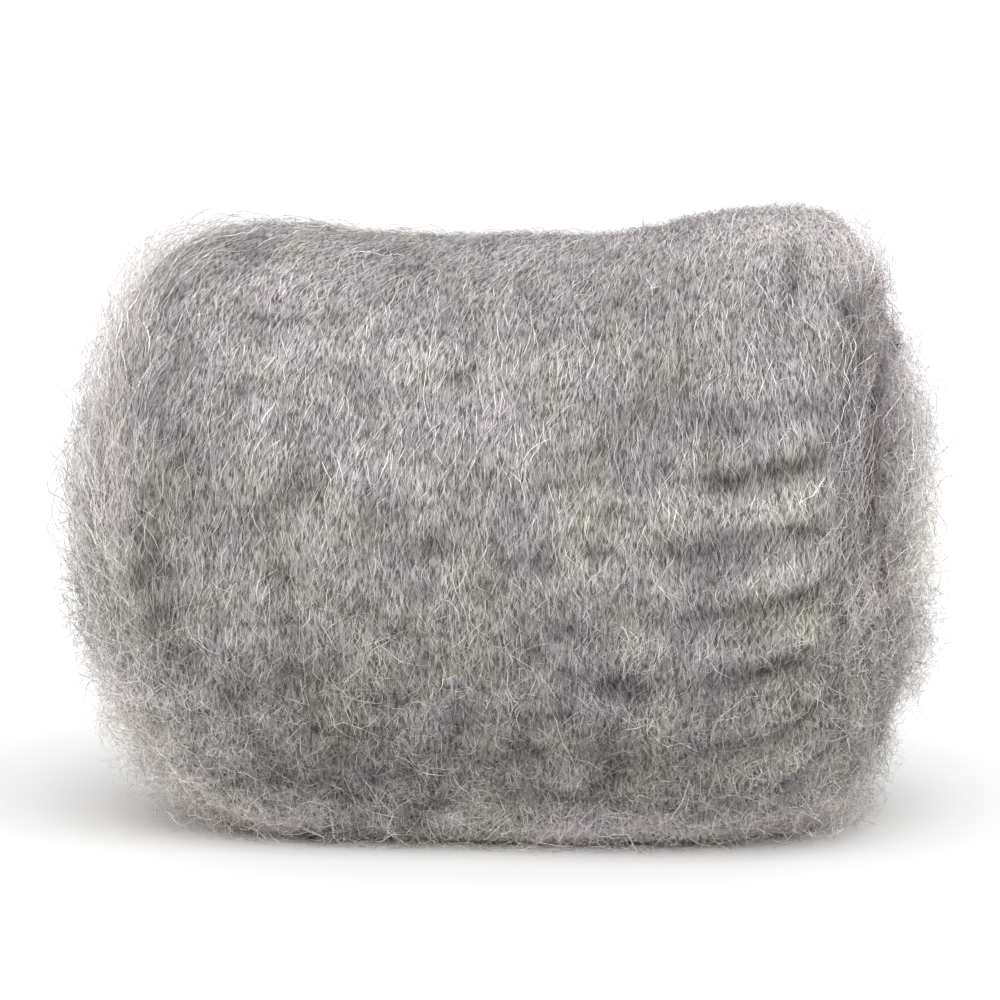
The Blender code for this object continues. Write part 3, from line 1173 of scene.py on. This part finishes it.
        # The tone holds painted shade in the hollows, and the body's painted light and shade.
        tone = shade * (1.0 - tree.named("deep") * habits.shade_in_cavity) * tree.named("tone_and_painted_shading")
        curve = tree.geometry("GeometryNodeMeshToCurve", None, {"Mesh": tree.kept(strands, "tone", tone)})
        share = tree.out(tree.node("GeometryNodeSplineParameter"), "Factor")
        curve = tree.kept(curve, "along", share)
        taper = 1.0 - tree.math("ABSOLUTE", share * 2.0 - 1.0) ** 4.0 * habits.tip_taper
        thickness = tree.size("Radius") * taper * tree.chance(who, Draw.THICKNESS, *habits.thicknesses)
        if self.section is not Section.ROUND:
            facing = {"Curve": curve, "Normal": self.facing(tree, who)}
            curve = tree.geometry("GeometryNodeSetCurveNormal", {"mode": "FREE"}, facing)
            ends = {"Start": (0, -1, 0), "End": (0, 1, 0)}
            profile = tree.geometry("GeometryNodeCurvePrimitiveLine", None, ends)
        else:
            circle = {"Resolution": 3, "Radius": 1.0}
            profile = tree.geometry("GeometryNodeCurvePrimitiveCircle", None, circle)
        profile = tree.kept(profile, "side", tree.geometry("GeometryNodeInputIndex") * 0.5)
        inputs = {"Curve": curve, "Profile Curve": profile, "Scale": thickness, "Fill Caps": True}
        skin = tree.geometry("GeometryNodeCurveToMesh", None, inputs)
        mapped = tree.kept(skin, "OFBake", self.bake_map.spot(tree), "FLOAT2", "CORNER")
        whole = tree.geometry("GeometryNodeRealizeInstances", None, {"Geometry": mapped})
        return tree.geometry("GeometryNodeSetMaterial", None, {"Geometry": whole, "Material": material})

    def build(self, body: bpy.types.Object, material: bpy.types.Material) -> bpy.types.Object:
        """Grows the layer.

        Args:
            body: the body that the fibres lie on.
            material: the fibres' finish.

        Returns:
            The layer, as one plain mesh.
        """
        tree = Growth(self.name, self.sizes(self.count / self.spread_area(body.data)))
        laid = self.laid(tree, self.strands(tree))
        tree.finish(self.skinned(tree, self.lifted(tree, laid), material))
        layer = bpy.data.objects.new(self.name, body.data.copy())
        bpy.context.scene.collection.objects.link(layer)
        grow = layer.modifiers.new("grow", "NODES")
        grow.node_group = tree.tree
        for identifier, size in tree.settings.items():
            grow[identifier] = size
        plain(layer)
        layer.data.shade_smooth()
        return layer

    def spread_area(self, mesh: bpy.types.Mesh) -> float:
        """The body's area, weighted by how the layer's fibres spread over it."""
        if self.spread is Spread.EVEN:
            return sum(face.area for face in mesh.polygons)
        weights = np.empty(len(mesh.vertices), np.float32)
        mesh.attributes[self.spread.value].data.foreach_get("value", weights)
        return sum(face.area * float(weights[list(face.vertices)].mean()) for face in mesh.polygons)


@dataclass
class SteelWoolBundle:
    """The whole bundle: the matted body and every layer of fibres on it."""

    form: Form = field(default_factory=Form)
    gathers: Gathers = field(default_factory=Gathers)
    edges: TurnEdges = field(default_factory=TurnEdges)

    def layers(self) -> list[FibreLayer]:
        """The layers, from the innermost out."""
        under = dict(wander=0.62, bow=0.22, dark=0.28)
        loose = dict(section=Section.TURNED, spread=Spread.LOOSE, sink=0.3 * MM, finish=GLINT)
        return [
            FibreLayer(
                "nap_deep", 18500, 4, 5.2 * MM, 0.048 * MM, lift=0.5 * MM, bright=0.62, seed=3, **under
            ),
            FibreLayer(
                "nap_low", 24000, 5, 6.4 * MM, 0.043 * MM, lift=0.9 * MM, bright=0.72, seed=5, **under
            ),
            FibreLayer(
                "nap_top", 18500, 6, 6.8 * MM, 0.038 * MM, wander=0.72, bow=0.28, lift=1.3 * MM,
                curl=0.70 * MM, dark=0.30, bright=0.88, seed=7,
            ),
            FibreLayer(
                "tangles", 13000, 7, 5.4 * MM, 0.042 * MM, spread=Spread.TANGLED, wander=1.1, bow=0.35,
                lift=1.2 * MM, fly=0.8 * MM, curl=0.9 * MM, curl_size=2.8 * MM, dark=0.28, bright=0.74,
                seed=11,
            ),
            FibreLayer(
                "strays", 900, 6, 7.0 * MM, 0.055 * MM, Section.ROUND, wander=0.8, bow=0.26,
                lift=1.6 * MM, curl=0.7 * MM, dark=0.60, bright=0.95, seed=9, finish=GLINT,
            ),
            FibreLayer(
                "wisps", 13500, 8, 9.5 * MM, 0.036 * MM, wander=0.8, bow=0.30, lift=1.0 * MM,
                fly=6.4 * MM, curl=2.4 * MM, curl_size=5.2 * MM, dark=0.50, bright=0.90, seed=13, **loose
            ),
            FibreLayer(
                "veil", 2200, 12, 20.0 * MM, 0.036 * MM, wander=0.35, bow=0.18, lift=2.6 * MM,
                fly=4.4 * MM, curl=2.2 * MM, curl_size=6.4 * MM, dark=0.60, bright=0.98, seed=17, **loose
            ),
        ]

    def build(self) -> list[bpy.types.Object]:
        """Builds, dresses and declares every piece.

        Returns:
            The pieces.
        """
        body = WoolBody(self.form, self.gathers, self.edges).build()
        finishes = {finish: finish.material() for finish in (STEEL, GLINT)}
        pieces = [layer.build(body, finishes[layer.finish]) for layer in self.layers()]
        body.data.materials.append(MattedWool().material())
        for piece in (body, *pieces):
            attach(piece, "root")
            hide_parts(NODE)
            piece.data.calc_loop_triangles()
            log.info("%s: %d triangles", piece.name, len(piece.data.loop_triangles))
        return [body, *pieces]


@dataclass
class Studio:
    """The plain pale floor, the soft light and the camera at the photograph's angle."""

    azimuth: float = math.radians(7)
    elevation: float = math.radians(7)
    distance: float = 0.90
    sensor_width_mm: float = 36.0
    farthest: float = 100.0
    metres_a_pixel: float = 0.0001595
    picture: int = 1000
    middle_px: Pair = (501.0, 513.0)
    floor_half: float = 30.0
    floor_tone: float = 0.88
    floor_roughness: float = 0.9
    floor_specular: float = 0.1
    sky: float = 0.75
    sun: float = 2.1
    sun_height: float = math.radians(56)
    sun_from_front: float = math.radians(16)
    sun_width: float = math.radians(60)

    def camera(self, form: Form) -> None:
        """Puts the camera where the photograph's was, seen from the bundle's middle."""
        data = bpy.data.cameras.new("camera")
        data.sensor_width = self.sensor_width_mm
        data.lens = data.sensor_width * self.distance / (self.picture * self.metres_a_pixel)
        data.clip_end = self.farthest
        data.shift_x = (self.picture / 2 - self.middle_px[0]) / self.picture
        data.shift_y = (self.middle_px[1] - self.picture / 2) / self.picture
        eye = bpy.data.objects.new("camera", data)
        bpy.context.scene.collection.objects.link(eye)
        way = self.way(self.azimuth, self.elevation)
        eye.location = Vector(form.middle) + way * self.distance
        eye.rotation_euler = way.to_track_quat("Z", "Y").to_euler()
        bpy.context.scene.camera = eye

    @staticmethod
    def way(azimuth: float, elevation: float) -> Vector:
        """The direction from the bundle out to this azimuth, from the front, and this elevation."""
        flat = math.cos(elevation)
        return Vector((math.sin(azimuth) * flat, -math.cos(azimuth) * flat, math.sin(elevation)))

    def light(self) -> None:
        """Adds the one broad soft light, high up and a little to the front right, and the pale sky."""
        data = bpy.data.lights.new("key", "SUN")
        data.energy = self.sun
        data.angle = self.sun_width
        lamp = bpy.data.objects.new("key", data)
        bpy.context.scene.collection.objects.link(lamp)
        way = self.way(self.sun_from_front, self.sun_height)
        lamp.rotation_euler = way.to_track_quat("Z", "Y").to_euler()
        world = bpy.data.worlds.new("surroundings")
        world.use_nodes = True
        background = world.node_tree.nodes["Background"]
        background.inputs["Color"].default_value = (1.0, 1.0, 1.0, 1.0)
        background.inputs["Strength"].default_value = self.sky
        bpy.context.scene.world = world

    def floor(self) -> None:
        """Lays the pale floor under the bundle."""
        half = self.floor_half
        mesh = bpy.data.meshes.new("floor")
        corners = [(-half, -half, 0.0), (half, -half, 0.0), (half, half, 0.0), (-half, half, 0.0)]
        mesh.from_pydata(corners, [], [(0, 1, 2, 3)])
        ground = bpy.data.objects.new("floor", mesh)
        bpy.context.scene.collection.objects.link(ground)
        material, _, shader = new_finish("pale_floor")
        shader.inputs["Base Color"].default_value = (self.floor_tone,) * 3 + (1.0,)
        shader.inputs["Roughness"].default_value = self.floor_roughness
        shader.inputs["Specular IOR Level"].default_value = self.floor_specular
        mesh.materials.append(material)

    def build(self, form: Form) -> None:
        """Sets up the floor, the light and the camera."""
        self.floor()
        self.camera(form)
        self.light()
        bpy.context.scene.view_settings.view_transform = "Standard"


def main() -> None:
    """Builds the bundle and its studio, and reports the pieces."""
    logging.basicConfig(level=logging.INFO, format="%(name)s: %(message)s")
    bundle = SteelWoolBundle()
    pieces = bundle.build()
    Studio().build(bundle.form)
    log.info("%d pieces, %d faces", len(pieces), sum(len(piece.data.polygons) for piece in pieces))


if __name__ == "__main__":
    main()
